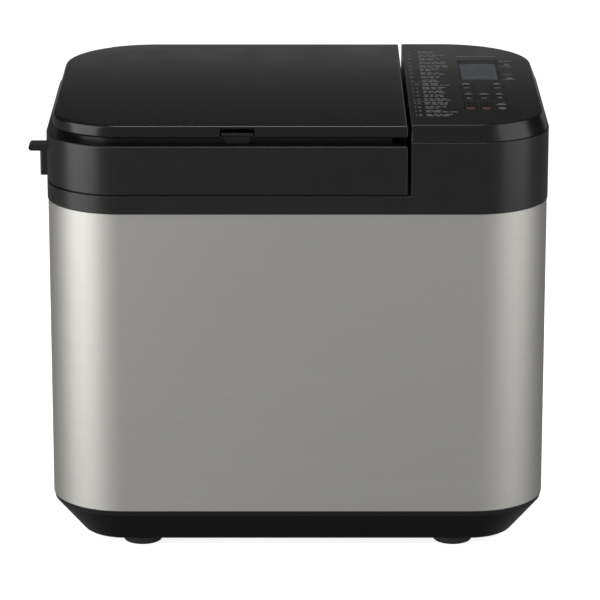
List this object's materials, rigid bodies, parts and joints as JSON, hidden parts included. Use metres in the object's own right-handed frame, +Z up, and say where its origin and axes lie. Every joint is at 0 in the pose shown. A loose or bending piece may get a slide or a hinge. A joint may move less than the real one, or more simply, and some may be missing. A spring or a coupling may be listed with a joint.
{
  "type": "bread machine",
  "caption": "Worktop bread machine with hinged lid, dispenser lid, chamber with lift-out style pan, belt-driven kneading blade and keyed control panel.",
  "frame": {"origin": "on the floor under the middle of the overall width and depth", "axes": "+X to the right seen from the front, +Y to the back, +Z up"},
  "size_m": [0.414, 0.305, 0.356],
  "materials": {
    "black_gloss": "semi-gloss moulded black",
    "black_satin": "satin moulded black",
    "dark_plastic": "matte moulded dark grey",
    "brushed_steel": "brushed along X",
    "sheet_steel": "zinc-plated sheet",
    "machined_steel": "turned",
    "aluminium": "satin",
    "pan_coating": "speckled non-stick coating",
    "black_rubber": "matte",
    "silicone": "matte",
    "circuit_board": "lacquered",
    "clear_window": "clear, smoke tinted",
    "display": "liquid crystal",
    "copper_winding": "enamelled winding"
  },
  "bodies": {
    "chassis": {"base_tray": "black_satin", "rubber_feet": "black_rubber", "base_screws": "machined_steel", "steel_case": "brushed_steel", "top_frame": "black_satin", "chassis_plate": "sheet_steel", "cord_gland": "black_rubber", "oven_liner": "aluminium", "heat_shield": "sheet_steel", "heater_element": "sheet_steel", "heater_brackets": "sheet_steel", "temperature_sensor": "machined_steel", "pan_seat": "aluminium", "drive_bearing": "machined_steel", "motor_body": "sheet_steel", "drive_belt": "black_rubber", "power_board": "circuit_board", "power_parts": "dark_plastic", "ribbon_cable": "dark_plastic", "panel_cover": "black_gloss", "panel_window": "clear_window", "lcd_module": "display", "control_board": "circuit_board", "tact_switches": "dark_plastic"},
    "lid": {"lid_shell": "black_satin", "lid_base": "dark_plastic", "inner_lid": "aluminium", "lid_seal": "silicone", "lid_hinge_pins": "machined_steel", "nut_box": "dark_plastic", "yeast_cup": "dark_plastic", "flap_solenoids": "copper_winding"},
    "dispenser_lid": {"dispenser_plate": "black_gloss", "dispenser_liner": "dark_plastic", "dispenser_seals": "silicone", "dispenser_hinge_pins": "machined_steel"},
    "catch": {"dispenser_catch": "black_satin"},
    "nut_flap": {"nut_flap": "dark_plastic"},
    "yeast_flap": {"yeast_flap": "dark_plastic"},
    "drive": {"drive_pulley": "dark_plastic", "drive_shaft": "machined_steel", "drive_coupling": "machined_steel", "blade_shaft": "machined_steel", "kneading_blade": "pan_coating"},
    "motor_rotor": {"motor_shaft": "machined_steel", "motor_pulley": "machined_steel", "motor_fan": "dark_plastic"},
    "pan": {"pan_shell": "pan_coating", "pan_base_ring": "aluminium", "pan_bush": "machined_steel", "pan_ears": "sheet_steel"},
    "bail": {"bail_wire": "machined_steel"},
    "key_1": {"key_1": "black_gloss"},
    "key_2": {"key_2": "black_gloss"},
    "key_3": {"key_3": "black_gloss"},
    "key_4": {"key_4": "black_gloss"},
    "key_5": {"key_5": "black_gloss"},
    "key_6": {"key_6": "black_gloss"},
    "key_7": {"key_7": "black_gloss"},
    "key_8": {"key_8": "black_gloss"}
  },
  "joints": [
    {"name": "lid_hinge", "type": "hinge", "parent": "chassis", "child": "lid", "pos_m": [0.0075, 0.1435, 0.3097], "axis": [-1, 0, 0], "range_deg": [0, 85]},
    {"name": "dispenser_hinge", "type": "hinge", "parent": "lid", "child": "dispenser_lid", "pos_m": [0.0075, 0.1415, 0.3507], "axis": [-1, 0, 0], "range_deg": [0, 80]},
    {"name": "catch_slide", "type": "slide", "parent": "lid", "child": "catch", "axis": [0, 1, 0], "range_m": [0, 0.0015], "stiffness_N_per_m": 500},
    {"name": "nut_flap_hinge", "type": "hinge", "parent": "lid", "child": "nut_flap", "pos_m": [-0.113, 0, 0.306], "axis": [0, 1, 0], "range_deg": [0, 75], "stiffness_Nm_per_rad": 0.02, "springref_deg": -57.3},
    {"name": "yeast_flap_hinge", "type": "hinge", "parent": "lid", "child": "yeast_flap", "pos_m": [0.043, 0, 0.306], "axis": [0, -1, 0], "range_deg": [0, 75], "stiffness_Nm_per_rad": 0.002, "springref_deg": -57.3},
    {"name": "drive_spin", "type": "hinge", "parent": "chassis", "child": "drive", "pos_m": [-0.049, 0, 0], "axis": [0, 0, 1], "continuous": true},
    {"name": "motor_spin", "type": "hinge", "parent": "chassis", "child": "motor_rotor", "pos_m": [0.13175, 0, 0], "axis": [0, 0, 1], "continuous": true},
    {"name": "pan_twist", "type": "hinge", "parent": "chassis", "child": "pan", "pos_m": [-0.049, 0, 0], "axis": [0, 0, 1], "range_deg": [0, 12]},
    {"name": "bail_hinge", "type": "hinge", "parent": "pan", "child": "bail", "pos_m": [-0.049, 0, 0.206], "axis": [-1, 0, 0], "range_deg": [0, 180]},
    {"name": "key_1_press", "type": "slide", "parent": "chassis", "child": "key_1", "axis": [0, 0, -1], "range_m": [0, 0.0008], "stiffness_N_per_m": 400},
    {"name": "key_2_press", "type": "slide", "parent": "chassis", "child": "key_2", "axis": [0, 0, -1], "range_m": [0, 0.0008], "stiffness_N_per_m": 400},
    {"name": "key_3_press", "type": "slide", "parent": "chassis", "child": "key_3", "axis": [0, 0, -1], "range_m": [0, 0.0008], "stiffness_N_per_m": 400},
    {"name": "key_4_press", "type": "slide", "parent": "chassis", "child": "key_4", "axis": [0, 0, -1], "range_m": [0, 0.0008], "stiffness_N_per_m": 400},
    {"name": "key_5_press", "type": "slide", "parent": "chassis", "child": "key_5", "axis": [0, 0, -1], "range_m": [0, 0.0008], "stiffness_N_per_m": 400},
    {"name": "key_6_press", "type": "slide", "parent": "chassis", "child": "key_6", "axis": [0, 0, -1], "range_m": [0, 0.0008], "stiffness_N_per_m": 400},
    {"name": "key_7_press", "type": "slide", "parent": "chassis", "child": "key_7", "axis": [0, 0, -1], "range_m": [0, 0.0008], "stiffness_N_per_m": 400},
    {"name": "key_8_press", "type": "slide", "parent": "chassis", "child": "key_8", "axis": [0, 0, -1], "range_m": [0, 0.0008], "stiffness_N_per_m": 400}
  ],
  "couplings": [
    {"joint": "motor_spin", "follows": "drive_spin", "ratio": 4.5455}
  ]
}
